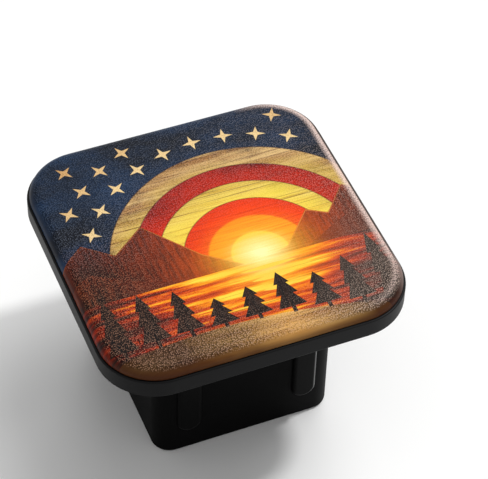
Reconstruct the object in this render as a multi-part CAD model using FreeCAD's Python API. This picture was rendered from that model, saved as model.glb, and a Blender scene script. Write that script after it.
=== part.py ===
import FreeCAD, Part
import math
import os
from FreeCAD import Vector

# Hitch receiver cover, in millimetres.
# A moulded black plug: its hollow square shank with ribs goes into the receiver tube, and its
# square flange, which carries a printed face plate, closes the tube's mouth.
# The part stands on the rim of its shank. The origin is the middle of that rim, +Z points to
# the printed face, and +Y is the top of the picture.

# Flange
flange_side = 80.0
flange_corner = 15.0
flange_thickness = 5.2
flange_bevel = 0.4

# Hollow shank with ribs, for a receiver tube that takes a shank of two inches
receiver_opening = 50.8
shank_length = 44.0
shank_corner = 5.0
rim_edge = 0.8
wall_at_rim = 2.7
wall_at_deck = 3.2
core_corner = 2.3
deck_thickness = 3.0
rib_height = 1.2
rib_width = 6.5
rib_roll = 1.1
rib_tip_level = 8.0
rib_pair_offset = 15.7
rib_sink = 1.0

# Face plate, bonded on the flange, and the printed skin on it
plate_inset = 0.65
plate_height = 3.0
plate_roll = 2.6
print_thickness = 0.3

# Picture: the sun over the far shore of a lake, with ring bands round it.
# It is drawn in units of one eightieth of the flange's side, so that it always fills the plate.
picture_unit = flange_side / 80
picture_side = flange_side / picture_unit
picture_corner = flange_corner / picture_unit
sun_x = 8.0
sun_y = -12.0
sun_radius = 7.5
amber_width = 5.5
band_width = 6.1
band_count = 4
horizon_y = -14.0
far_ridge = [
    (-60, 2), (-44, -3), (-33, 6), (-26, 0), (-17, 7), (-6, -7),
    (4, -15), (15, -12), (24, -2), (29, -5), (36, 3), (44, -4), (60, 0),
]
near_ridge = [
    (-60, -6), (-44, -9), (-34, -4), (-22, -11), (-10, -15),
    (18, -15), (29, -9), (36, -6), (60, -12),
]

# Strokes of light on the water under the sun
glint_count = 3
glint_start = 2.5
glint_pitch = 3.6
glint_height = 1.3
glint_length = 15.0
glint_taper = 3.2

# Near bank, the top of a wide circle, and the pines along it, which are taller to the sides
bank_x = -12.0
bank_y = -31.0
bank_radius = 150.0
pine_pitch = 8.6
pine_half_width = 3.7
pine_height = 11.0
pine_rise = 15.0
pine_sway = 2.2
pine_root = 0.3
# Outline of a pine's right side, as shares of its half width and of its height
pine_profile = [(0.14, 0.0), (0.14, 0.14), (1.0, 0.14), (0.42, 0.44), (0.78, 0.44), (0.3, 0.71), (0.55, 0.71)]

# Four-pointed sparkles in the sky, in rows round the sun, with a margin to the flange's edge
sparkle_rows = 3
sparkle_start = 5.0
sparkle_row_gap = 7.2
sparkle_pitch = 8.6
sparkle_reach = 2.6
sparkle_waist = 0.8
sparkle_margin = 5.7

# Bands that a rounded edge is made of
roll_steps = 3

# Sizes that follow from these
shank_side = receiver_opening - 2 * rib_height
flange_back = shank_length
flange_front = flange_back + flange_thickness
sky_radius = sun_radius + amber_width + band_width * band_count


# Plain forms

def turned(point, angle):
    """The point turned about the upright axis by an angle in radians."""
    x = point.x * math.cos(angle) - point.y * math.sin(angle)
    y = point.x * math.sin(angle) + point.y * math.cos(angle)
    return Vector(x, y, point.z)


def rounded_square(side, corner, z):
    """The outline of a square with round corners, lying flat at height z."""
    half = side / 2
    centre = Vector(half - corner, half - corner, z)
    out = Vector(corner, 0, 0)
    edges = []
    for quarter in range(4):
        turn = math.radians(90 * quarter)
        start = turned(centre + out, turn)
        crown = turned(centre + turned(out, math.radians(45)), turn)
        end = turned(centre + turned(out, math.radians(90)), turn)
        next_start = turned(centre + out, turn + math.radians(90))
        edges.append(Part.Arc(start, crown, end).toShape())
        edges.append(Part.LineSegment(end, next_start).toShape())
    return Part.Wire(edges)


def quarter_round(radius):
    """How far each outline up a rounded edge draws back, and how far it is below the top."""
    turns = [math.radians(90 * step / roll_steps) for step in range(roll_steps + 1)]
    return [(radius * (1 - math.cos(turn)), radius * (1 - math.sin(turn))) for turn in turns]


# Moulded body

def flange():
    outlines = [
        rounded_square(flange_side - 2 * flange_bevel, flange_corner - flange_bevel, flange_back),
        rounded_square(flange_side, flange_corner, flange_back + flange_bevel),
        rounded_square(flange_side, flange_corner, flange_front - flange_bevel),
        rounded_square(flange_side - 2 * flange_bevel, flange_corner - flange_bevel, flange_front),
    ]
    return Part.makeLoft(outlines, True, True)


def shank():
    """The shank without its hollow, rounded at the rim that goes in first."""
    rim = reversed(quarter_round(rim_edge))
    outlines = [rounded_square(shank_side - 2 * back, shank_corner - back, height) for back, height in rim]
    outlines.append(rounded_square(shank_side, shank_corner, flange_back))
    return Part.makeLoft(outlines, True, True)


def core():
    """The space inside the shank, a little narrower at the deck, so that the mould's core draws out."""
    mouth = rounded_square(shank_side - 2 * wall_at_rim, core_corner, 0)
    roof = rounded_square(shank_side - 2 * wall_at_deck, core_corner, flange_front - deck_thickness)
    return Part.makeLoft([mouth, roof], True, True)


def rib_outline(back, level, offset):
    """A rib's outline with its round tip, drawn back from full size, at a level from the shank's axis."""
    half = rib_width / 2 - back
    tip_centre = Vector(level, offset, rib_tip_level + rib_width / 2)
    across = Vector(0, half, 0)
    left = tip_centre - across
    right = tip_centre + across
    tip = tip_centre - Vector(0, 0, half)
    left_root = Vector(level, left.y, flange_back)
    right_root = Vector(level, right.y, flange_back)
    return Part.Wire([
        Part.LineSegment(left_root, left).toShape(),
        Part.Arc(left, tip, right).toShape(),
        Part.LineSegment(right, right_root).toShape(),
        Part.LineSegment(right_root, left_root).toShape(),
    ])


def rib(offset, direction):
    """A rib on the side of the shank that faces a direction in degrees, offset along that side."""
    crest = receiver_opening / 2
    outlines = [rib_outline(0, shank_side / 2 - rib_sink, offset)]
    outlines += [rib_outline(back, crest - drop, offset) for back, drop in quarter_round(rib_roll)]
    pad = Part.makeLoft(outlines, True, True)
    pad.rotate(Vector(0, 0, 0), Vector(0, 0, 1), direction)
    return pad


def ribs():
    """One rib in the middle of the left and right sides, and a pair on the near and far sides."""
    singles = [rib(0, direction) for direction in (0, 180)]
    pairs = [rib(side * rib_pair_offset, direction) for direction in (90, 270) for side in (-1, 1)]
    return singles + pairs


def cover_body():
    solid = shank().fuse([flange()] + ribs()).cut(core())
    return solid.removeSplitter()


# Face plate

def pillow(inset):
    """The plate with its rolled front edge, or the same form drawn in by an inset from its skin."""
    side = flange_side - 2 * (plate_inset + inset)
    corner = flange_corner - plate_inset - inset
    top = flange_front + plate_height - inset
    outlines = [rounded_square(side, corner, flange_front)]
    for back, drop in quarter_round(plate_roll - inset):
        outlines.append(rounded_square(side - 2 * back, corner - back, top - drop))
    return Part.makeLoft(outlines, True, True)


# Columns that cut the printed skin into its fields

def column(outline):
    """An upright column right through the plate, over a closed outline of the picture."""
    face = Part.Face(outline.scaled(picture_unit))
    face.translate(Vector(0, 0, flange_front - plate_height))
    return face.extrude(Vector(0, 0, 3 * plate_height))


def disc(x, y, radius):
    return column(Part.Wire(Part.makeCircle(radius, Vector(x, y, 0))))


def polygon(points):
    corners = [Vector(x, y, 0) for x, y in points]
    return column(Part.makePolygon(corners + corners[:1]))


def lake():
    return polygon([
        (-picture_side, horizon_y),
        (-picture_side, -picture_side),
        (picture_side, -picture_side),
        (picture_side, horizon_y),
    ])


def hills(ridge):
    """The land under a ridge line. It goes on down behind the lake."""
    return polygon([(ridge[0][0], bank_y)] + ridge + [(ridge[-1][0], bank_y)])


def bank():
    return disc(bank_x, bank_y - bank_radius, bank_radius)


def bank_level(x):
    return bank_y - bank_radius + math.sqrt(bank_radius ** 2 - (x - bank_x) ** 2)


def pine(number):
    """A stylised pine, three tiers of boughs on a short trunk."""
    x = number * pine_pitch
    foot = bank_level(x) - pine_root
    from_middle = 2 * x / picture_side
    height = pine_height + pine_rise * from_middle ** 2 + pine_sway * math.sin(2 * number)
    right = [(x + pine_half_width * out, foot + height * up) for out, up in pine_profile]
    left = [(x - pine_half_width * out, foot + height * up) for out, up in reversed(pine_profile)]
    return polygon(right + [(x, foot + height)] + left)


def pines():
    each_side = int(picture_side / 2 / pine_pitch)
    return [pine(number) for number in range(-each_side, each_side + 1)]


def glint(number):
    """A level stroke of light, pointed at both ends and shorter nearer the bank."""
    y = horizon_y - glint_start - glint_pitch * number
    half = (glint_length - glint_taper * number) / 2
    left = Vector(sun_x - half, y, 0)
    right = Vector(sun_x + half, y, 0)
    rise = Vector(0, glint_height / 2, 0)
    middle = Vector(sun_x, y, 0)
    upper = Part.Arc(left, middle + rise, right).toShape()
    lower = Part.Arc(right, middle - rise, left).toShape()
    return column(Part.Wire([upper, lower]))


def sparkle(x, y, angle):
    """A four-pointed sparkle, turned so that one point looks away from the sun."""
    points = []
    for eighth in range(8):
        reach = sparkle_waist if eighth % 2 else sparkle_reach
        turn = angle + math.radians(45 * eighth)
        points.append((x + reach * math.cos(turn), y + reach * math.sin(turn)))
    return polygon(points)


def inside_margin(x, y):
    """Whether a sparkle at this point keeps its margin, so that it stays off the rolled edge."""
    straight = picture_side / 2 - picture_corner
    past_x = max(abs(x) - straight, 0)
    past_y = max(abs(y) - straight, 0)
    return math.hypot(past_x, past_y) <= picture_corner - sparkle_margin


def sparkles():
    """Rows of sparkles over the sky, every other row shifted by half a step."""
    shapes = []
    for row in range(sparkle_rows):
        distance = sky_radius + sparkle_start + sparkle_row_gap * row
        step = sparkle_pitch / distance
        shift = step / 2 if row % 2 else 0
        for number in range(int(math.pi / step) + 1):
            angle = shift + step * number
            x = sun_x + distance * math.cos(angle)
            y = sun_y + distance * math.sin(angle)
            if inside_margin(x, y):
                shapes.append(sparkle(x, y, angle))
    return shapes


def picture():
    """The names and columns of the picture's fields, the nearest first. The rest of the skin is sky."""
    fields = [
        ("print_pines", pines()),
        ("print_bank", [bank()]),
        ("print_glints", [glint(number) for number in range(glint_count)]),
        ("print_lake", [lake()]),
        ("print_near_hills", [hills(near_ridge)]),
        ("print_far_hills", [hills(far_ridge)]),
        ("print_sun", [disc(sun_x, sun_y, sun_radius)]),
        ("print_amber_band", [disc(sun_x, sun_y, sun_radius + amber_width)]),
    ]
    for number in range(band_count):
        name = "print_sand_bands" if number % 2 else "print_red_bands"
        radius = sun_radius + amber_width + band_width * (number + 1)
        fields.append((name, [disc(sun_x, sun_y, radius)]))
    fields.append(("print_sparkles", sparkles()))
    return fields


def printed_fields(skin):
    """Cuts the printed skin into its fields of colour."""
    solids = {}
    rest = skin
    for name, columns in picture():
        area = columns[0].fuse(columns[1:]) if len(columns) > 1 else columns[0]
        solids.setdefault(name, []).extend(rest.common(area).Solids)
        rest = rest.cut(area)
    solids["print_sky"] = rest.Solids
    return {name: Part.makeCompound(pieces) for name, pieces in solids.items()}


def write(name, shape):
    shape.exportStep(os.path.join("parts", name + ".step"))
    print(name, len(shape.Solids), "solids", round(shape.Volume, 2), "mm3")


os.makedirs("parts", exist_ok=True)
plate = pillow(print_thickness)
write("cover_body", cover_body())
write("face_plate", plate)
for field, shape in printed_fields(pillow(0).cut(plate)).items():
    write(field, shape)
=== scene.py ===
# %% [markdown]
# # A printed cover for a trailer's receiver tube
# The cover is two pieces. One is a moulded black plug: a hollow square shank with ribs, which
# goes into the receiver tube, and a square flange with wide round corners, which closes it. The
# other is a printed plate with a rolled front edge, bonded on the flange.
# The measured solids are loaded first. The same two pieces are then modelled again with smooth
# round edges, and get their finishes: a satin plastic with a fine grain, and a warm sunset print
# worked out by shader maths. Pieces are modelled in metres and painted in millimetres.

# %% Load the frame
import math

import bmesh
import bpy
from mathutils import Euler, Matrix, Quaternion, Vector


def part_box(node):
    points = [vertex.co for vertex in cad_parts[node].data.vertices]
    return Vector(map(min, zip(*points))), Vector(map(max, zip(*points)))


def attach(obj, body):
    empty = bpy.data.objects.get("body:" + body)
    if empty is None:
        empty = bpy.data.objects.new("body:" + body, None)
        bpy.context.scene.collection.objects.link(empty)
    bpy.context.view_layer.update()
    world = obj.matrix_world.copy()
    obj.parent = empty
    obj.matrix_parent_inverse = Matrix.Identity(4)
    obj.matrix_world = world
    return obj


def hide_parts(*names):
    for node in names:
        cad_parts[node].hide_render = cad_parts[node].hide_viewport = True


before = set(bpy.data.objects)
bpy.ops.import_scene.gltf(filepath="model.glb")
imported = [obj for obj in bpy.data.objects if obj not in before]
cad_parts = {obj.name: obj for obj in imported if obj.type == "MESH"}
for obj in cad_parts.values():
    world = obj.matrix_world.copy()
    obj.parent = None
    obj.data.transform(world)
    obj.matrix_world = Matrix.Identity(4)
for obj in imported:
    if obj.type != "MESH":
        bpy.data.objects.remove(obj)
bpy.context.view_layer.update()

plug_low, plug_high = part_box("cover_body")
plate_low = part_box("face_plate")[0]


# %% [markdown]
# ## Camera
# The camera stands to the left of the cover and looks down on its printed face. A long lens
# from half a metre away keeps the flange's sides nearly parallel. A camera is easiest to place
# by the point where it stands and the point that it looks at, and a last small turn about the
# line of sight gives the slight tilt of a picture taken by hand.

# %% Camera
camera_place = Vector((-0.13902, -0.33846, 0.43938))
camera_target = Vector((0.00499, -0.00779, 0.05400))
camera_tilt = math.radians(1.92)
camera_lens = 157.6
sensor_width = 36

view_line = (camera_target - camera_place).to_track_quat("-Z", "Y")
camera_turn = view_line @ Quaternion((0, 0, 1), camera_tilt)
bpy.ops.object.camera_add(location=camera_place, rotation=camera_turn.to_euler())
camera = bpy.context.object
camera.name = "camera"
camera.data.lens = camera_lens
camera.data.sensor_width = sensor_width
bpy.context.scene.camera = camera
print("the camera stands", round((camera_target - camera_place).length, 3), "m from the printed face")

# %% [markdown]
# ## Light
# Three lamps stand on the right and throw the broad grey shadow to the left. A narrow one high up
# gives the shadow its edge, a wide one next to it softens that edge, and a low one behind the
# right side skims over the face and its rolled edge. A pale world all round fills the shadow. Sun
# lamps do this more evenly than panels near by, because the floor then stays equally bright as
# far as it goes.
# The world is about twice as bright to the camera and in reflections as it is as a light, so that
# the background is white and the gloss shows a white room. The colours keep their plain level.

# %% Light
fill_strength = 0.47


def add_lamp(name, heading, height, strength, spread):
    """Adds a sun lamp by its heading from +X and its height over the floor, in degrees."""
    turn = Euler((0, math.radians(90 - height), math.radians(heading)))
    bpy.ops.object.light_add(type="SUN", location=turn.to_matrix() @ Vector((0, 0, 1)), rotation=turn)
    lamp = bpy.context.object
    lamp.name = name
    lamp.data.energy = strength
    lamp.data.angle = math.radians(spread)
    on_floor = strength * math.sin(math.radians(height)) / math.pi
    print(name, "gives the floor", round(on_floor, 2), "of the light that shows white as white")


bpy.context.scene.view_settings.view_transform = "Standard"
add_lamp("high_lamp", heading=5, height=56, strength=1.28, spread=7)
add_lamp("wide_lamp", heading=30, height=55, strength=0.88, spread=35)
add_lamp("low_lamp", heading=60, height=25, strength=0.58, spread=30)

world = bpy.data.worlds.new("white_room")
bpy.context.scene.world = world
world.use_nodes = True
world.node_tree.nodes.clear()

# %% [markdown]
# ## Shader maths
# Every finish here is worked out from where a point lies on the piece. Written node by node that
# is hard to read, so one small class wraps the output of a node. Two wrapped outputs can then be
# added, multiplied or divided in a plain expression, and each operation adds its Math node. The
# methods edge and between turn a distance into a mask from nought to one, and any other kind of
# node comes from the method called node.

# %% A wrapped node output
class Signal:
    """The output of a node, for use in plain expressions."""

    def __init__(self, tree, output=None):
        self.tree = tree
        self.output = output

    def node(self, kind, settings=None, sockets=None, output=0):
        """Adds a node. Its settings are made first, and then its sockets get values or links."""
        added = self.tree.nodes.new(kind)
        for name, value in (settings or {}).items():
            if name == "stops":
                fill_ramp(added.color_ramp, value)
            else:
                setattr(added, name, value)
        for name, value in (sockets or {}).items():
            if isinstance(value, Signal):
                self.tree.links.new(value.output, added.inputs[name])
            else:
                added.inputs[name].default_value = value
        return Signal(self.tree, added.outputs[output] if len(added.outputs) else None)

    def other(self, output):
        """Another output of the same node."""
        return Signal(self.tree, self.output.node.outputs[output])

    def math(self, operation, *values):
        """One Math node, with this value and the others as its inputs."""
        return self.node("ShaderNodeMath", {"operation": operation}, dict(enumerate((self,) + values)))

    def __add__(self, other):
        return self.math("ADD", other)

    def __radd__(self, other):
        return self.math("ADD", other)

    def __sub__(self, other):
        return self.math("SUBTRACT", other)

    def __rsub__(self, other):
        return self.math("MULTIPLY_ADD", -1, other)

    def __mul__(self, other):
        return self.math("MULTIPLY", other)

    def __rmul__(self, other):
        return self.math("MULTIPLY", other)

    def __truediv__(self, other):
        return self.math("DIVIDE", other)

    def __rtruediv__(self, other):
        return self.math("POWER", -1) * other

    def __pow__(self, other):
        return self.math("POWER", other)

    def __abs__(self):
        return self.math("ABSOLUTE")

    def edge(self, softness):
        """One where this value is above zero and nought where it is below, with a soft edge."""
        settings = {"operation": "MULTIPLY_ADD", "use_clamp": True}
        return self.node("ShaderNodeMath", settings, {0: self, 1: 1 / softness, 2: 0.5})

    def between(self, low, high):
        """Nought at low and one at high, even in between."""
        sockets = {"Value": self, "From Min": low, "From Max": high}
        return self.node("ShaderNodeMapRange", {"clamp": True}, sockets)


def fill_ramp(ramp, stops):
    """Gives a ramp its stops, each one a place and a colour or a grey level."""
    while len(ramp.elements) < len(stops):
        ramp.elements.new(1.0)
    for element, (place, value) in zip(ramp.elements, stops):
        element.position = place
        element.color = value if isinstance(value, tuple) else (value, value, value, 1)


# %% [markdown]
# ## World
# The world is the first use of it: two backgrounds, and a mix that picks the brighter one for
# what the camera sees, straight, in a reflection or through something clear.

# %% World
pure_white = (1, 1, 1, 1)
seen_strength = 1.0

start = Signal(world.node_tree)
to_camera = start.node("ShaderNodeLightPath", output="Is Camera Ray")
looked_at = to_camera + to_camera.other("Is Glossy Ray") + to_camera.other("Is Transmission Ray")
fill = start.node("ShaderNodeBackground", {}, {"Color": pure_white, "Strength": fill_strength})
seen = start.node("ShaderNodeBackground", {}, {"Color": pure_white, "Strength": seen_strength})
room = start.node("ShaderNodeMixShader", {}, {0: looked_at, 1: fill, 2: seen})
start.node("ShaderNodeOutputWorld", {}, {"Surface": room})
print("the world gives", fill_strength, "as a light and", seen_strength, "where it is seen")

# %% [markdown]
# ## Floor
# The cover stands on a white sheet. A plane with a matt white surface is enough, and it carries
# the cover's soft shadow.

# %% Floor
floor_side = 6.0
sheet_colour = (0.975, 0.975, 0.97, 1)


def new_finish(name):
    """A material with an empty tree, and a signal to start its nodes from."""
    finish = bpy.data.materials.new(name)
    finish.use_nodes = True
    finish.node_tree.nodes.clear()
    return finish, Signal(finish.node_tree)


bpy.ops.object.select_all(action="DESELECT")
bpy.ops.mesh.primitive_plane_add(size=floor_side, location=(0, 0, 0))
floor = bpy.context.object
floor.name = "floor"
matt_white, start = new_finish("matt_white")
sheet = start.node("ShaderNodeBsdfDiffuse", {}, {"Color": sheet_colour})
start.node("ShaderNodeOutputMaterial", {}, {"Surface": sheet})
floor.data.materials.append(matt_white)
print("the floor is", floor_side, "m wide")

# %% [markdown]
# ## Ways to model
# Both pieces start as boxes whose edges are then rounded. These helpers add a box at its size
# and place, pick edges by where they lie, and round what is picked. Everything is deselected
# first, since an operation works on all that is selected. The last one measures a piece.

# %% Helpers for the pieces
mm_per_metre = 1000.0
tolerance = 1e-6


def start_box(name, low, high):
    """Adds a box between two corners."""
    middle = [(a + b) / 2 for a, b in zip(low, high)]
    bpy.ops.object.select_all(action="DESELECT")
    bpy.ops.mesh.primitive_cube_add(size=1, location=middle)
    box = bpy.context.object
    box.name = name
    box.scale = [b - a for a, b in zip(low, high)]
    bpy.ops.object.transform_apply(location=True, rotation=True, scale=True)
    return box


def open_for_editing(piece, mode):
    """Opens a piece with nothing selected, ready to pick its VERT, EDGE or FACE elements."""
    bpy.ops.object.select_all(action="DESELECT")
    piece.select_set(True)
    bpy.context.view_layer.objects.active = piece
    bpy.ops.object.mode_set(mode="EDIT")
    bpy.ops.mesh.select_mode(type=mode)
    bpy.ops.mesh.select_all(action="DESELECT")
    return bmesh.from_edit_mesh(piece.data)


def round_edges(piece, wanted, radius, segments):
    """Rounds the edges whose two ends pass the test."""
    mesh = open_for_editing(piece, "EDGE")
    for edge in mesh.edges:
        edge.select_set(wanted(edge.verts[0].co, edge.verts[1].co))
    bpy.ops.mesh.bevel(
        offset=radius,
        segments=segments,
        profile=0.5,
        affect="EDGES",
        clamp_overlap=False,
    )
    bpy.ops.object.mode_set(mode="OBJECT")


def upright(a, b):
    """Whether an edge stands straight up."""
    return abs(a.z - b.z) > tolerance and (a.xy - b.xy).length < tolerance


def at_level(level):
    """A test for edges that lie at one height."""
    return lambda a, b: abs(a.z - level) < tolerance and abs(b.z - level) < tolerance


def report(piece):
    """Prints how big a piece is and whether its surface is closed."""
    mesh = bmesh.new()
    mesh.from_mesh(piece.data)
    loose = sum(1 for edge in mesh.edges if not edge.is_manifold)
    volume = mesh.calc_volume(signed=True) * mm_per_metre ** 3
    triangles = sum(len(face.verts) - 2 for face in mesh.faces)
    mesh.free()
    size = [round(side * mm_per_metre, 2) for side in piece.dimensions]
    print(piece.name, size, "mm,", round(volume), "mm3,", triangles, "triangles,", loose, "open edges")


# %% [markdown]
# ## Moulded plug: flange
# The flange is a square slab with 15 mm corners, and its rims are just broken, as a mould leaves
# them. It could be an extruded outline, but a box whose four upright edges are rounded is
# quicker, and the two rims can then be picked by their height.

# %% Flange
flange_side = plug_high.x - plug_low.x
flange_back = 0.044
flange_front = plug_high.z
flange_corner = 0.015
flange_rim = 0.0004

half = flange_side / 2
flange = start_box("moulded_plug", (-half, -half, flange_back), (half, half, flange_front))
round_edges(flange, upright, flange_corner, segments=20)
round_edges(flange, at_level(flange_back), flange_rim, segments=3)
round_edges(flange, at_level(flange_front), flange_rim, segments=3)
report(flange)

# %% [markdown]
# ## Moulded plug: shank
# The shank is a square tube with 5 mm corners and a rounded leading rim, so that it finds its
# way into the receiver. It runs on a little into the flange, so that the two join cleanly.

# %% Shank
shank_side = 0.0484
shank_corner = 0.005
shank_rim = 0.0008
overlap = 0.002


def combine(piece, tool, operation):
    """Joins a tool to a piece or cuts it out, and clears the tool away."""
    change = piece.modifiers.new(operation.lower(), "BOOLEAN")
    change.operation = operation
    change.solver = "EXACT"
    change.object = tool
    bpy.context.view_layer.objects.active = piece
    bpy.ops.object.modifier_apply(modifier=change.name)
    bpy.data.objects.remove(tool)


half = shank_side / 2
shank = start_box("shank", (-half, -half, 0), (half, half, flange_back + overlap))
round_edges(shank, upright, shank_corner, segments=12)
round_edges(shank, at_level(0), shank_rim, segments=4)
combine(flange, shank, "UNION")
report(flange)

# %% [markdown]
# ## Moulded plug: ribs
# Six flat ribs with round tips take up the play in the tube: one in the middle of the left and
# right sides, and a pair on the near and far sides. A rib is a short cylinder laid on its side.
# Its upper half is moved up into the flange, which draws it out to a strip with one round end,
# and the rim of its crest is rolled. One is modelled, and the others are turned copies of it.

# %% Ribs
rib_width = 0.0065
rib_height = 0.0012
rib_root = 0.001
rib_roll = 0.0011
rib_tip_level = 0.008
rib_pair_offset = 0.0157

crest = shank_side / 2 + rib_height
root = shank_side / 2 - rib_root
tip_middle = rib_tip_level + rib_width / 2
bpy.ops.object.select_all(action="DESELECT")
bpy.ops.mesh.primitive_cylinder_add(
    vertices=48,
    radius=rib_width / 2,
    depth=crest - root,
    location=((crest + root) / 2, 0, tip_middle),
    rotation=(0, math.pi / 2, 0),
)
rib = bpy.context.object
rib.name = "rib"
bpy.ops.object.transform_apply(location=True, rotation=True, scale=True)

mesh = open_for_editing(rib, "VERT")
for vertex in mesh.verts:
    vertex.select_set(vertex.co.z > tip_middle + tolerance)
mesh.select_flush_mode()
bpy.ops.transform.translate(value=(0, 0, flange_back + overlap - rib_width / 2 - tip_middle))
bpy.ops.object.mode_set(mode="OBJECT")
round_edges(rib, lambda a, b: min(a.x, b.x) > crest - tolerance, rib_roll, segments=6)
report(rib)

quarter = math.pi / 2
rib_places = [(0, 0), (2 * quarter, 0)]
rib_places += [(turn, side * rib_pair_offset) for turn in (quarter, 3 * quarter) for side in (-1, 1)]
for turn, offset in rib_places:
    copy = rib.copy()
    copy.data = rib.data.copy()
    bpy.context.scene.collection.objects.link(copy)
    copy.data.transform(Matrix.Rotation(turn, 4, "Z") @ Matrix.Translation((0, offset, 0)))
    combine(flange, copy, "UNION")
bpy.data.objects.remove(rib)
report(flange)

# %% [markdown]
# ## Moulded plug: hollow
# The shank is hollow up to the deck under the printed plate. Its walls get a little thicker
# towards the deck, so that the mould's core can be drawn out. The hollow is cut with a box that
# has round corners and narrows upwards. Its lowest 0.3 mm flares out, which breaks the inner edge
# of the rim, and below the rim it runs on a little, so that the cut is clean.

# %% Hollow
deck_thickness = 0.003
wall_at_rim = 0.0027
wall_at_deck = 0.0032
core_corner = 0.0023
mouth_flare = 0.0003
core_overrun = 0.002


def pick_faces(piece, direction):
    """Selects the faces that look up, where direction is 1, or down, where it is -1."""
    bpy.ops.mesh.select_all(action="DESELECT")
    mesh = bmesh.from_edit_mesh(piece.data)
    for face in mesh.faces:
        face.select_set(face.normal.z * direction > 0.9)


def shade_smooth(piece, angle):
    """Shades round edges smooth and keeps the flat faces flat."""
    bpy.ops.object.select_all(action="DESELECT")
    piece.select_set(True)
    bpy.context.view_layer.objects.active = piece
    bpy.ops.object.shade_smooth_by_angle(angle=math.radians(angle))
    weigh = piece.modifiers.new("weigh", "WEIGHTED_NORMAL")
    weigh.keep_sharp = True
    weigh.weight = 100
    bpy.ops.object.modifier_apply(modifier=weigh.name)


deck_level = flange_front - deck_thickness
half = shank_side / 2 - wall_at_rim
narrowing = (shank_side / 2 - wall_at_deck) / half
core = start_box("core", (-half, -half, mouth_flare), (half, half, deck_level))
round_edges(core, upright, core_corner, segments=8)
open_for_editing(core, "FACE")
pick_faces(core, direction=1)
bpy.ops.transform.resize(value=(narrowing, narrowing, 1), center_override=(0, 0, deck_level))
pick_faces(core, direction=-1)
flare = (half + mouth_flare) / half
bpy.ops.mesh.extrude_region_move(TRANSFORM_OT_translate={"value": (0, 0, -mouth_flare)})
bpy.ops.transform.resize(value=(flare, flare, 1), center_override=(0, 0, 0))
bpy.ops.mesh.extrude_region_move(TRANSFORM_OT_translate={"value": (0, 0, -core_overrun)})
bpy.ops.object.mode_set(mode="OBJECT")
report(core)
combine(flange, core, "DIFFERENCE")
shade_smooth(flange, angle=32)
moulded_plug = flange
report(moulded_plug)

# %% [markdown]
# ## Face plate
# The plate is 3 mm thick and stands back a little from the flange's edge all round. Its front edge
# is rolled over nearly the plate's whole height, which gives the cover its soft pillow look, and
# its back edge is broken a little, so that a dark line shows between plate and flange.

# %% Face plate
plate_side = 0.0787
plate_back = plate_low.z
plate_front = 0.0522
plate_corner = 0.01435
plate_roll = 0.0026
plate_break = 0.0002

half = plate_side / 2
face_plate = start_box("printed_face_plate", (-half, -half, plate_back), (half, half, plate_front))
round_edges(face_plate, upright, plate_corner, segments=24)
round_edges(face_plate, at_level(plate_front), plate_roll, segments=10)
round_edges(face_plate, at_level(plate_back), plate_break, segments=2)
shade_smooth(face_plate, angle=30)
report(face_plate)

# %% [markdown]
# ## Colours, noise and masks
# A finish starts from the place of a point in its piece, in millimetres. Colours are written as
# they look on a screen, soft noise makes them uneven, and a mask says where a colour lies over
# those below it. A finish is then built up like paint, coat over coat. Pictures wrapped round the
# pieces could do the same, but these formulas stay sharp at any distance.

# %% Helpers for the finishes
def paint(code):
    """A colour written as six hex digits, turned into the linear levels that a socket takes."""
    levels = [int(code[i:i + 2], 16) / 255 for i in (0, 2, 4)]
    linear = [v / 12.92 if v <= 0.04045 else ((v + 0.055) / 1.055) ** 2.4 for v in levels]
    return tuple(linear) + (1.0,)


def blend(below, above, share):
    """The colour below, covered by the colour above where share is one."""
    start = next(value for value in (share, below, above) if isinstance(value, Signal))
    settings = {"data_type": "RGBA", "clamp_factor": True}
    # Inputs 6 and 7 and output 2 are the ones that this node has for colours.
    return start.node("ShaderNodeMix", settings, {0: share, 6: below, 7: above}, output=2)


def noise(where, size, detail=2.0, roughness=0.5, stretch=(1, 1, 1)):
    """Soft noise from nought to one, its lumps about size across and drawn out by stretch."""
    scale = tuple(1 / (size * factor) for factor in stretch)
    placed = where.node("ShaderNodeMapping", {}, {"Vector": where, "Scale": scale})
    sockets = {"Vector": placed, "Scale": 1.0, "Detail": detail, "Roughness": roughness}
    return where.node("ShaderNodeTexNoise", {}, sockets)


def place_in_piece(start):
    """Where a shaded point lies in its piece, in millimetres: the place, and its x, y and z."""
    metres = start.node("ShaderNodeTexCoord", output="Object")
    settings = {"operation": "SCALE"}
    where = start.node("ShaderNodeVectorMath", settings, {0: metres, "Scale": mm_per_metre})
    x = start.node("ShaderNodeSeparateXYZ", {}, {"Vector": where})
    return where, x, x.other("Y"), x.other("Z")


def close_finish(start, sockets):
    """Ends a material with a plastic surface made from these socket values."""
    surface = start.node("ShaderNodeBsdfPrincipled", {}, sockets)
    start.node("ShaderNodeOutputMaterial", {}, {"Surface": surface})


def tell(start, what):
    """Prints how far a finish has grown."""
    print("with", what, "the finish has", len(start.tree.nodes), "nodes")


# %% [markdown]
# ## Satin black plastic: its parts
# The flange has a light gloss, which shows the room along its flat sides, and its front rim goes
# from a painted shade, deep black, on the left to a painted grey reflection on the right. The shank
# gets painted shade in front and on the left, and is duller there. Its ribs, which rub in the tube,
# are smoother than the rest, and their rolled rims get a painted highlight, paler, and shine on the
# right. Each of these parts gets a mask here: a value that is one on the part and nought elsewhere,
# worked out from where a point lies.

# %% Parts of the plug
flange_level = 43.9
rib_foot = 24.6
rib_crest = 25.3
rims_with_painted_highlight = (14.0, 18.0)
painted_shade_to_lit = (-14.0, 18.0)
front_of_flange = (-40.0, -34.0)
painted_shade_side = (-30.0, 0.0)
painted_reflection_side = (0.0, 36.0)

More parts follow.
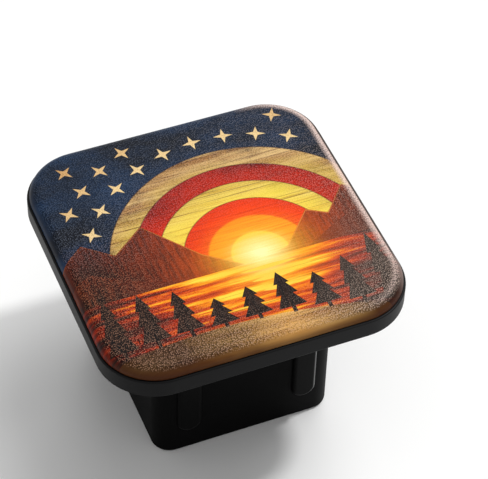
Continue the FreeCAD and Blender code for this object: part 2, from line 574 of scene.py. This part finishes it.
black_plastic, start = new_finish("black_plastic")
where, across, away, level = place_in_piece(start)
from_axis = abs(across).math("MAXIMUM", abs(away))
below_flange = (flange_level - level).edge(softness=0.2)
on_rib = (from_axis - rib_foot).edge(softness=0.4) * below_flange
rib_rim_highlight = on_rib * (rib_crest - from_axis).edge(softness=0.15)
rib_rim_highlight = rib_rim_highlight * across.between(*rims_with_painted_highlight)
# painted shade on the shank's front and left, where it is also duller
painted_shade_and_dull = below_flange * (1 - (across + away).between(*painted_shade_to_lit))
front_rim = (1 - below_flange) * (1 - away.between(*front_of_flange))
tell(start, "the parts of the plug")

# %% [markdown]
# ## Satin black plastic: its colour and grain
# The plug is moulded in black plastic with a fine grain. Its gloss varies a little from place to
# place, where the plastic filled the mould: a fine noise raises the grain, and a coarse one moves
# the roughness. The masks then lay the darker blacks of painted shade and the paler blacks of
# painted reflection and highlight on their parts, one by one.

# %% Colour and grain of the plug
grain_size = 0.28
grain_depth = 0.00003
cloud_size = 9.0
dust_size = 0.9

grain = noise(where, grain_size, detail=1.0)
clouds = noise(where, cloud_size, detail=3.0)
dust = noise(where, dust_size, detail=4.0, roughness=0.7).between(0.62, 0.8)
black = blend(paint("0a0a0b"), paint("101011"), clouds)
# painted shade: a darker black on the shank's front and left
black = blend(black, paint("030303"), painted_shade_and_dull * 0.9)
# painted shade: a deeper black on the left of the flange's front rim
black = blend(black, paint("040405"), front_rim * (1 - across.between(*painted_shade_side)) * 0.7)
# painted reflection: a grey on the right of the flange's front rim
black = blend(black, paint("222223"), front_rim * across.between(*painted_reflection_side) * 0.6)
# painted highlight: a paler black on the rolled rims of the right-hand ribs
black = blend(black, paint("343435"), rib_rim_highlight * 0.8)
black = blend(black, paint("222323"), dust * 0.10)
bump = {"Strength": 0.35, "Distance": grain_depth, "Height": grain}
grain_bump = start.node("ShaderNodeBump", {}, bump)
close_finish(start, {
    "Base Color": black,
    "Roughness": clouds * 0.12 + grain * 0.08 + painted_shade_and_dull * 0.20 - on_rib * 0.20 + 0.32,
    "Specular IOR Level": 0.035,
    "Coat Weight": rib_rim_highlight * 0.9 + (1 - painted_shade_and_dull) * 0.10,
    "Coat Roughness": 0.35,
    "Normal": grain_bump,
})
moulded_plug.data.materials.append(black_plastic)
tell(start, "the colour and grain of the plug")

# %% [markdown]
# ## Print: the ground that it is drawn on
# The print is a picture of an evening lake, drawn only with distances and noise. All its
# measures are in millimetres from the middle of the plate, x to the right and y to the top. A
# crisp edge is soft over less than a tenth of a millimetre, as ink is.

# %% Coordinates of the print
crisp = 0.08

printed_face, start = new_finish("printed_face")
where, x, y, z = place_in_piece(start)
tell(start, "a place in millimetres")

# %% [markdown]
# ### Streaks, smoke and glow
# Weathered sand, brick red, amber and navy are the print's main colours. The bands have the
# fine long streaks of old boards, so a noise is drawn out up to thirty times along x. A coarse
# noise does for smoke. The glow falls off with the distance from the sun, a little more slowly to
# the sides, and the smoke frays it.

# %% Streaks, smoke and glow
sun_x = 8.0
sun_y = -12.0
glow_flattening = 0.85
glow_fade = (22.0, 43.0)
smoke_reach = 16.0

from_sun_x = x - sun_x
from_sun_y = y - sun_y
from_sun = (from_sun_x ** 2 + from_sun_y ** 2) ** 0.5
fine_streaks = noise(where, size=0.5, detail=3.0, roughness=0.6, stretch=(30, 1, 30))
wide_streaks = noise(where, size=2.2, detail=3.0, roughness=0.6, stretch=(14, 1, 14))
smoke = noise(where, size=13.0, detail=4.0, roughness=0.62, stretch=(1.8, 1, 1))
from_glow = ((from_sun_x * glow_flattening) ** 2 + from_sun_y ** 2) ** 0.5
glow = 1 - (from_glow + smoke * smoke_reach).between(*glow_fade)
tell(start, "streaks, smoke and glow")

# %% [markdown]
# ### Sky and sparkles
# The sky is navy with paler cloud. The sparkles stand in three rows round the sun. Every point
# of the sky is first given the nearest place in a row, and then the star at that place is drawn
# once, in coordinates of its own, so the whole sky costs no more than one star. A star whose
# middle lies too near the rounded outline of the picture is left out whole.

# %% Sky and sparkles
sky_radius = 37.4
sparkle_rows = 3
sparkle_start = 5.0
sparkle_row_gap = 7.2
sparkle_pitch = 8.6
sparkle_reach = 2.6
sparkle_slope = 0.278
sparkle_margin = 5.7
picture_half = 40.0
picture_corner = 15.0
gold_fade = (28.0, 56.0)
gold_fray = 14.0


def past_corner(across, up, half, corner):
    """How far a place is past the middle of the nearest round corner of a square, or nought."""
    past_x = (abs(across) - (half - corner)).math("MAXIMUM", 0)
    past_y = (abs(up) - (half - corner)).math("MAXIMUM", 0)
    return (past_x ** 2 + past_y ** 2) ** 0.5


navy = blend(paint("0a111e"), paint("1f3858"), smoke.between(0.36, 0.72))
row = ((from_sun - sky_radius - sparkle_start) / sparkle_row_gap).math("ROUND")
row = row.math("MAXIMUM", 0).math("MINIMUM", sparkle_rows - 1)
distance = row * sparkle_row_gap + sky_radius + sparkle_start
step = sparkle_pitch / distance
odd_row = row - (row / 2).math("FLOOR") * 2
shift = odd_row * step / 2
angle = from_sun_y.math("ARCTAN2", from_sun_x)
number = ((angle - shift) / step).math("ROUND").math("MAXIMUM", 0)
number = number.math("MINIMUM", (math.pi / step).math("FLOOR"))
star_angle = shift + number * step
star_x = distance * star_angle.math("COSINE") + sun_x
star_y = distance * star_angle.math("SINE") + sun_y
out = abs(from_sun * (angle - star_angle).math("COSINE") - distance)
along = abs(from_sun * (angle - star_angle).math("SINE"))
point = out.math("MAXIMUM", along)
side = out.math("MINIMUM", along)
star = ((sparkle_reach - point) * sparkle_slope - side).edge(crisp)
star_past_corner = past_corner(star_x, star_y, picture_half, picture_corner)
star = star * (picture_corner - sparkle_margin - star_past_corner).edge(softness=0.01)
near_sun = 1 - (from_sun - fine_streaks * gold_fray).between(*gold_fade)
gold = blend(paint("c48e52"), paint("ffe2a6"), near_sun)
picture = blend(navy, gold, star)
tell(start, "the sky")

# %% [markdown]
# ### Bands round the sun
# Red and sand bands follow each other down to an amber band and the yellow disc. Near the sun
# the colours take its glow: red turns to orange and sand to yellow. A thin dark line runs along
# each boundary, as between boards.

# %% Bands round the sun
sun_radius = 7.5
amber_width = 5.5
band_width = 6.1
band_count = 4
seam_half = 0.16

red = blend(paint("701014"), paint("a81a12"), wide_streaks)
red = blend(red, paint("240d14"), smoke.between(0.48, 0.70) * 0.8)
red = blend(red, paint("f5380a"), glow)
red = blend(red, paint("8e1408"), fine_streaks.between(0.50, 0.72) * 0.45)
plank_lines = noise(where, size=0.35, detail=2.0, stretch=(90, 1, 90)).between(0.60, 0.68)
stains = noise(where, size=5.0, detail=5.0, roughness=0.68, stretch=(2.2, 1, 1))
stains = stains.between(0.50, 0.72)
sand = blend(paint("a8713a"), paint("e2bd80"), wide_streaks.between(0.3, 0.7))
sand = blend(sand, paint("7d4f2b"), fine_streaks.between(0.50, 0.70) * 0.55)
sand = blend(sand, paint("4a2c18"), stains * 0.75)
sand = blend(sand, paint("ffe650"), glow)
sand = blend(sand, paint("c9771c"), fine_streaks.between(0.48, 0.72) * glow * 0.6)
sand = blend(sand, paint("6e3a16"), plank_lines * 0.6)
amber = blend(paint("ff7a0c"), paint("ffb01c"), wide_streaks)
amber = blend(amber, paint("d9540a"), fine_streaks.between(0.50, 0.72) * 0.55)
yellow = blend(paint("ffe83e"), paint("fff7a8"), 1 - from_sun.between(0.0, sun_radius))

for number in reversed(range(band_count)):
    radius = sun_radius + amber_width + band_width * (number + 1)
    picture = blend(picture, sand if number % 2 else red, (radius - from_sun).edge(crisp))
    seam = 1 - (abs(from_sun - radius) - seam_half).edge(softness=0.15)
    picture = blend(picture, paint("3a1d14"), seam * 0.55)
picture = blend(picture, amber, (sun_radius + amber_width - from_sun).edge(softness=0.6))
picture = blend(picture, yellow, (sun_radius - from_sun).edge(softness=0.5))
tell(start, "the sun and its bands")

# %% [markdown]
# ### Hills
# Two ridges stand before the sun, a far one with a thin line of light along its top and a darker
# near one. A ridge line is a row of corner points, and a ramp with those points as its stops
# gives the ridge's height at any x.

# %% Hills
far_ridge = [
    (-60, 2), (-44, -3), (-33, 6), (-26, 0), (-17, 7), (-6, -7),
    (4, -15), (15, -12), (24, -2), (29, -5), (36, 3), (44, -4), (60, 0),
]
near_ridge = [
    (-60, -6), (-44, -9), (-34, -4), (-22, -11), (-10, -15),
    (18, -15), (29, -9), (36, -6), (60, -12),
]
ridge_span = 60.0
ridge_floor = -20.0
ridge_reach = 40.0
top_line_depth = 0.25
top_line_half = 0.15


def ridge_height(points):
    """How high a ridge line stands at x."""
    stops = [
        ((px + ridge_span) / (2 * ridge_span), (py - ridge_floor) / ridge_reach)
        for px, py in points
    ]
    place = (x + ridge_span) / (2 * ridge_span)
    height = start.node("ShaderNodeValToRGB", {"stops": stops}, {"Fac": place})
    return height * ridge_reach + ridge_floor


timber = noise(where, size=0.8, detail=4.0, roughness=0.7, stretch=(1, 9, 9)).between(0.44, 0.62)
far_rise = ridge_height(far_ridge) - y
far_land = blend(paint("702810"), paint("30100a"), (far_rise / 14 + smoke * 0.5).between(0.1, 1.0))
far_land = blend(far_land, paint("c0481a"), glow * 0.65)
far_land = blend(far_land, paint("1c0c08"), timber * 0.6)
picture = blend(picture, far_land, far_rise.edge(crisp))
top_line = 1 - (abs(far_rise - top_line_depth) - top_line_half).edge(softness=0.2)
picture = blend(picture, paint("e8863a"), top_line * (glow * 0.7 + 0.15))
near_rise = ridge_height(near_ridge) - y
near_land = blend(paint("561c0c"), paint("1c0b07"), (near_rise / 10 + smoke * 0.4).between(0.1, 1.0))
near_land = blend(near_land, paint("7c2d14"), glow * 0.6)
near_land = blend(near_land, paint("8a3c1e"), timber * 0.45)
picture = blend(picture, near_land, near_rise.edge(crisp))
tell(start, "the hills")

# %% [markdown]
# ### Lake and strokes of light
# The water is the lower third of the picture. One value says how much light a point of it gets:
# it falls with the distance from the sun, faster to the right and downwards than to the left, and
# long level ripples move it up and down. A ramp turns it into charcoal, maroon, rust, orange and
# yellow. Three blooms, each smaller and paler than the last, lie over the land and the water near
# the sun, and three pointed strokes of light lie across the water.

# %% Lake and strokes of light
horizon_y = -14.0
fall_left = 0.78
fall_right = 1.32
fall_down = 1.30
light_fade = (3.0, 50.0)
ripple_swing = 96.0
bloom_core = 1.0
bloom_fray = 5.0
glint_count = 3
glint_start = 2.5
glint_pitch = 3.6
glint_height = 1.3
glint_length = 15.0
glint_taper = 3.2

blooms = [(24.0, "ff7a12", 0.75), (16.0, "ffe046", 0.90), (9.0, "fffbb4", 0.90)]
water_stops = [
    (0.00, paint("140e0e")), (0.22, paint("5c160a")), (0.42, paint("ac2a0b")),
    (0.60, paint("e0520f")), (0.78, paint("ff9c14")), (1.00, paint("ffe64a")),
]
ripples = noise(where, size=1.8, detail=5.0, roughness=0.62, stretch=(13, 1, 13))
aside = (from_sun_x * fall_right).math("MAXIMUM", from_sun_x * -fall_left)
from_path = (aside ** 2 + (from_sun_y * fall_down) ** 2) ** 0.5
light = 1 - (from_path + ripples * ripple_swing - ripple_swing / 2).between(*light_fade)
water = start.node("ShaderNodeValToRGB", {"stops": water_stops}, {"Fac": light})
water = blend(water, paint("240c08"), smoke.between(0.48, 0.66) * (1 - glow) * 0.45)
water = blend(water, paint("4a1a0c"), plank_lines * 0.5)
picture = blend(picture, water, (horizon_y - y).edge(crisp))
from_bloom = from_glow + fine_streaks * bloom_fray - bloom_fray / 2
for reach, colour, strength in blooms:
    bloom = (1 - from_bloom.between(bloom_core, reach)) ** 2
    picture = blend(picture, paint(colour), bloom * strength)
for number in range(glint_count):
    half_length = (glint_length - glint_taper * number) / 2
    from_middle = y - (horizon_y - glint_start - glint_pitch * number)
    lens = (1 - (from_sun_x / half_length) ** 2) * (glint_height / 2) - abs(from_middle)
    picture = blend(picture, paint("ffd24a"), lens.edge(crisp))
tell(start, "the lake")

# %% [markdown]
# ### Near bank and pines
# The bank is the top of a very wide circle, tan like the sand bands and darker towards both ends.
# The pines stand along it at an even pitch and are taller to the sides. Only the nearest pine is
# drawn at any point: rounding x to the pitch gives its number, and a ramp gives its outline.

# %% Near bank and pines
bank_x = -12.0
bank_y = -31.0
bank_radius = 150.0
pine_pitch = 8.6
pine_half_width = 3.7
pine_height = 11.0
pine_rise = 15.0
pine_sway = 2.2
pine_root = 0.3
pine_end = 0.005
last_pine = int(picture_half / pine_pitch)
dark_left = (6.0, 36.0)
dark_right = (5.0, 24.0)
pine_stops = [
    (0.0, 0.14), (0.139, 0.14), (0.141, 1.0), (0.439, 0.42),
    (0.441, 0.78), (0.709, 0.3), (0.711, 0.55), (1.0, 0.0),
]

from_bank = ((x - bank_x) ** 2 + (y - bank_y + bank_radius) ** 2) ** 0.5
bank = bank_radius - from_bank
on_bank = bank.edge(crisp)
ground = blend(paint("b47a3a"), paint("f2be70"), wide_streaks.between(0.3, 0.7))
ground = blend(ground, paint("5d3c20"), fine_streaks.between(0.55, 0.75) * 0.6)
ground = blend(ground, paint("3d2a1c"), (smoke + bank / 30).between(0.65, 1.1) * 0.5)
ground = blend(ground, paint("2c110a"), (smoke * 24.0 - x).between(*dark_left) * 0.92)
ground = blend(ground, paint("3a1c0c"), (x - smoke * 8.0).between(*dark_right) * 0.96)
picture = blend(picture, ground, on_bank)

number = (x / pine_pitch).math("ROUND").math("MAXIMUM", -last_pine).math("MINIMUM", last_pine)
pine_x = number * pine_pitch
foot = (bank_radius ** 2 - (pine_x - bank_x) ** 2) ** 0.5 + (bank_y - bank_radius - pine_root)
height = (pine_x / picture_half) ** 2 * pine_rise + (number * 2).math("SINE") * pine_sway + pine_height
up = (y - foot) / height
width = start.node("ShaderNodeValToRGB", {"stops": pine_stops}, {"Fac": up}) * pine_half_width
pine = (width - abs(x - pine_x)).edge(crisp) * up.edge(pine_end) * (1 - up).edge(pine_end)
bark = noise(where, size=0.45, detail=3.0, roughness=0.6, stretch=(1, 14, 14))
needles = blend(paint("0e0807"), paint("341c12"), bark.between(0.45, 0.7))
picture = blend(picture, needles, pine)
tell(start, "the near bank")

# %% [markdown]
# ### Fine grain over the whole print
# The satin plate has a fine skin of pebbles, about four tenths of a millimetre apart. The top of a
# pebble gets a painted glint, a pale speck, and the gaps between the pebbles get painted shade.
# The cells of a flat Voronoi texture do for the pebbles: the distance from a cell's middle tells
# top from gap, and its random colour says how far the pebble is turned to the light.
# The painted glints are warm over the lake, and cool and faint over the sky. To the right, where
# the light skims over them, they are paler, and a thin painted haze of light lies at the near
# corner. They are weak on pale colours and nearly lost in the glow.

# %% Fine grain
pebble_size = 0.39
pebble_tops = (0.06, 0.40)
pebble_gaps = (0.33, 0.62)
turned_to_light = (0.10, 0.80)
above_roll = (51.4, 51.9)
pale_tones = (0.15, 0.50)
lake_to_sky = (-6.0, 8.0)
up_the_sky = (-5.0, 20.0)
left_to_right = (-45.0, 45.0)
near_corner = (28.0, 46.0)

cells = {"Vector": where, "Scale": 1 / pebble_size, "Randomness": 0.9}
pebble = where.node("ShaderNodeTexVoronoi", {"voronoi_dimensions": "2D"}, cells, output="Color")
tilt = pebble.node("ShaderNodeSeparateXYZ", {}, {"Vector": pebble})
from_pebble = pebble.other("Distance")
on_top = z.between(*above_roll)
tone = picture.node("ShaderNodeRGBToBW", {}, {"Color": picture})
grainy = on_top * (1 - glow * (1 - on_bank) * 0.85) * (1 - tone.between(*pale_tones) * 0.6)
towards_light = x * 0.9 - y * 0.6
to_light = towards_light.between(*left_to_right)
in_sky = y.between(*up_the_sky)
painted_haze = towards_light.between(*near_corner) * on_top
# painted haze of light towards the near right corner
picture = blend(picture, paint("b49c8c"), painted_haze * 0.15)
pebble_top = 1 - from_pebble.between(*pebble_tops)
# painted glints: pale specks on the pebble tops
painted_glints = pebble_top * tilt.between(*turned_to_light) * grainy
# painted shade in the gaps between the pebbles
painted_gap_shade = from_pebble.between(*pebble_gaps) * grainy * (1 - on_bank * 0.3 - in_sky * 0.35)
# the colour of the painted glints
specks = blend(paint("c47c50"), paint("9aa8bc"), y.between(*lake_to_sky))
specks = blend(specks, paint("d8c0b0"), to_light)
speck_share = (to_light * 0.66 + 0.40) * (1 - in_sky * 0.55)
picture = blend(picture, specks, painted_glints * speck_share)
tell(start, "the fine grain")

# %% [markdown]
# ### Rolled edge
# The rolled edge has no specks. At the front it gets painted shade that deepens towards the joint.
# On the right it gets a painted pale sheen, and just before the side a thin line of painted shade.
# Round the near right corner only a thin painted highlight line is left of the sheen. Height tells
# how far down the front roll a point lies. The sheen starts on the level part of the plate, where
# height tells nothing, so there the distance from the plate's outline is used.

# %% Rolled edge
roll_shade_start = 51.8
roll_shade_full = 50.2
painted_sheen_start = 3.2
painted_sheen_full = 1.9
edge_shade_start = 1.32
edge_shade_full = 1.10
highlight_line_inside = (2.5, 3.5)
highlight_line_outside = (1.5, 2.3)
highlight_line_part = (25.0, 34.0)
front_to_back = (-36.0, -26.0)
past_near_corner = (-35.0, -23.0)
to_right_side = (24.0, 37.0)

plate_half = plate_side / 2 * mm_per_metre
corner = plate_corner * mm_per_metre
from_rim = corner - past_corner(x, y, plate_half, corner)
lit_side = (x + y * 0.1).between(*to_right_side) * y.between(*past_near_corner)
painted_sheen = (1 - from_rim.between(painted_sheen_full, painted_sheen_start)) * lit_side
# painted highlight: a thin pale line where the roll begins round the near right corner
painted_highlight_line = from_rim.between(*highlight_line_outside) * (1 - from_rim.between(*highlight_line_inside))
painted_highlight_line = painted_highlight_line * x.between(*highlight_line_part) * (1 - lit_side)
painted_roll_shade = (1 - z.between(roll_shade_full, roll_shade_start)) * (1 - y.between(*front_to_back))
# painted shade: a thin dark line just before the right side, where plate meets flange
painted_edge_shade = (1 - from_rim.between(edge_shade_full, edge_shade_start)) * lit_side
# painted shade on the front roll, deepening towards the joint
picture = blend(picture, paint("6a3210"), painted_roll_shade * 0.50)
# painted sheen on the right roll, and a painted highlight line round the near right corner
picture = blend(picture, paint("e6cabf"), painted_sheen * 0.84 + painted_highlight_line * 0.40)
tell(start, "the rolled edge")

# %% [markdown]
# ### Surface of the print
# The painted shade in the gaps between the pebbles, on the front roll and in the thin line on the
# right darkens the picture, whatever its colour there. The pebbles also stand out a little, so that
# their tops catch the light. The ink is satin, smoother where the smoke is thin, with a light gloss
# along the painted sheen.

# %% Surface of the print
relief_depth = 0.00003

# painted shade from the pebble gaps, the front roll and the thin line on the right
shade = (1 - painted_gap_shade * 0.9) * (1 - painted_roll_shade * 0.45) * (1 - painted_edge_shade * 0.92)
shaded = start.node("ShaderNodeVectorMath", {"operation": "SCALE"}, {0: picture, "Scale": shade})
relief = (1 - from_pebble) * on_top
bump = {"Strength": 0.5, "Distance": relief_depth, "Height": relief}
pebble_bump = start.node("ShaderNodeBump", {}, bump)
close_finish(start, {
    "Base Color": shaded,
    "Roughness": smoke * 0.10 + painted_edge_shade * 0.45 + 0.36,
    "Specular IOR Level": 0.07,
    "Coat Weight": painted_sheen * (1 - painted_edge_shade) * 0.3,
    "Coat Roughness": 0.15,
    "Normal": pebble_bump,
})
face_plate.data.materials.append(printed_face)
tell(start, "the surface of the print")

# %% [markdown]
# ## What each piece stands for
# Both pieces ride on the one body of the row. The plug stands for its solid, and the printed
# plate for the plate's solid and all the printed fields, which it shows in its own surface.

# %% Tie the pieces to the frame
printed_nodes = sorted(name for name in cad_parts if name.startswith("print_"))
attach(moulded_plug, "root")
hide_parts("cover_body")
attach(face_plate, "root")
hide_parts("face_plate", *printed_nodes)
print("the printed plate stands for", len(printed_nodes), "printed fields")
